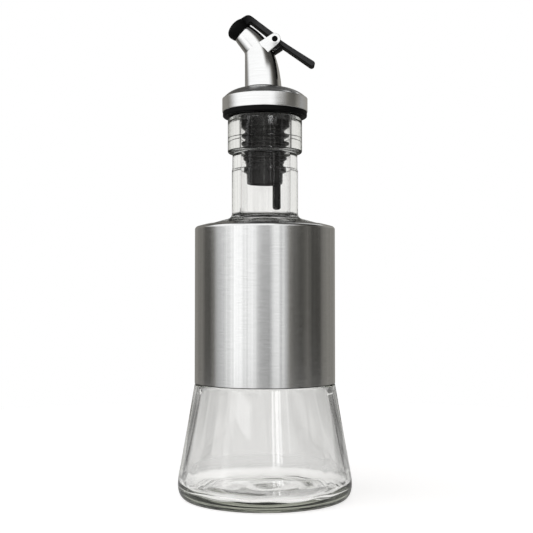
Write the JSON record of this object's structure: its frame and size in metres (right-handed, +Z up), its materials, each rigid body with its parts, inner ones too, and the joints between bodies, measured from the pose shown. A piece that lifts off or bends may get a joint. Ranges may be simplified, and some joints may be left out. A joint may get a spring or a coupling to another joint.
{
  "type": "oil dispenser bottle",
  "caption": "Flared clear glass oil bottle in a brushed steel sleeve, with a stopper pourer: bent steel spout and a sprung black flip lever that covers the mouth.",
  "frame": {"origin": "middle of the base, on the surface that the bottle stands on", "axes": "+Z up the bottle, -X towards the spout's mouth, +X towards the thumb arm of the lever, Y along the lever's pin"},
  "size_m": [0.079, 0.079, 0.2197],
  "materials": {
    "clear_glass": "clear, polished soda glass",
    "brushed_steel": "stainless steel, brushed round the tube",
    "satin_steel": "stainless steel, fine satin",
    "black_plastic": "moulded black plastic, half matt",
    "black_silicone": "soft black silicone",
    "black_tape": "black adhesive tape, matt"
  },
  "bodies": {
    "bottle": {"glass_bottle": "clear_glass", "steel_sleeve": "brushed_steel", "sleeve_tape_lower": "black_tape", "sleeve_tape_upper": "black_tape"},
    "pourer": {"cap_shell": "satin_steel", "cap_liner": "black_plastic", "neck_seal": "black_silicone", "stopper_core": "black_plastic", "vent_tube": "black_plastic", "spout_tube": "satin_steel", "hinge_ear_front": "satin_steel", "hinge_ear_rear": "satin_steel"},
    "lever": {"lever": "black_plastic", "pivot_pin": "black_plastic", "mouth_seal": "black_silicone", "return_spring": "black_plastic"}
  },
  "joints": [
    {"name": "pourer_lift", "type": "slide", "parent": "bottle", "child": "pourer", "axis": [0, 0, 1], "range_m": [0, 0.055]},
    {"name": "lever_hinge", "type": "hinge", "parent": "pourer", "child": "lever", "pos_m": [0.0045, 0, 0.20825], "axis": [0, 1, 0], "range_deg": [0, 20], "stiffness_Nm_per_rad": 0.06, "springref_deg": -18.91, "deforming": ["return_spring"]}
  ]
}
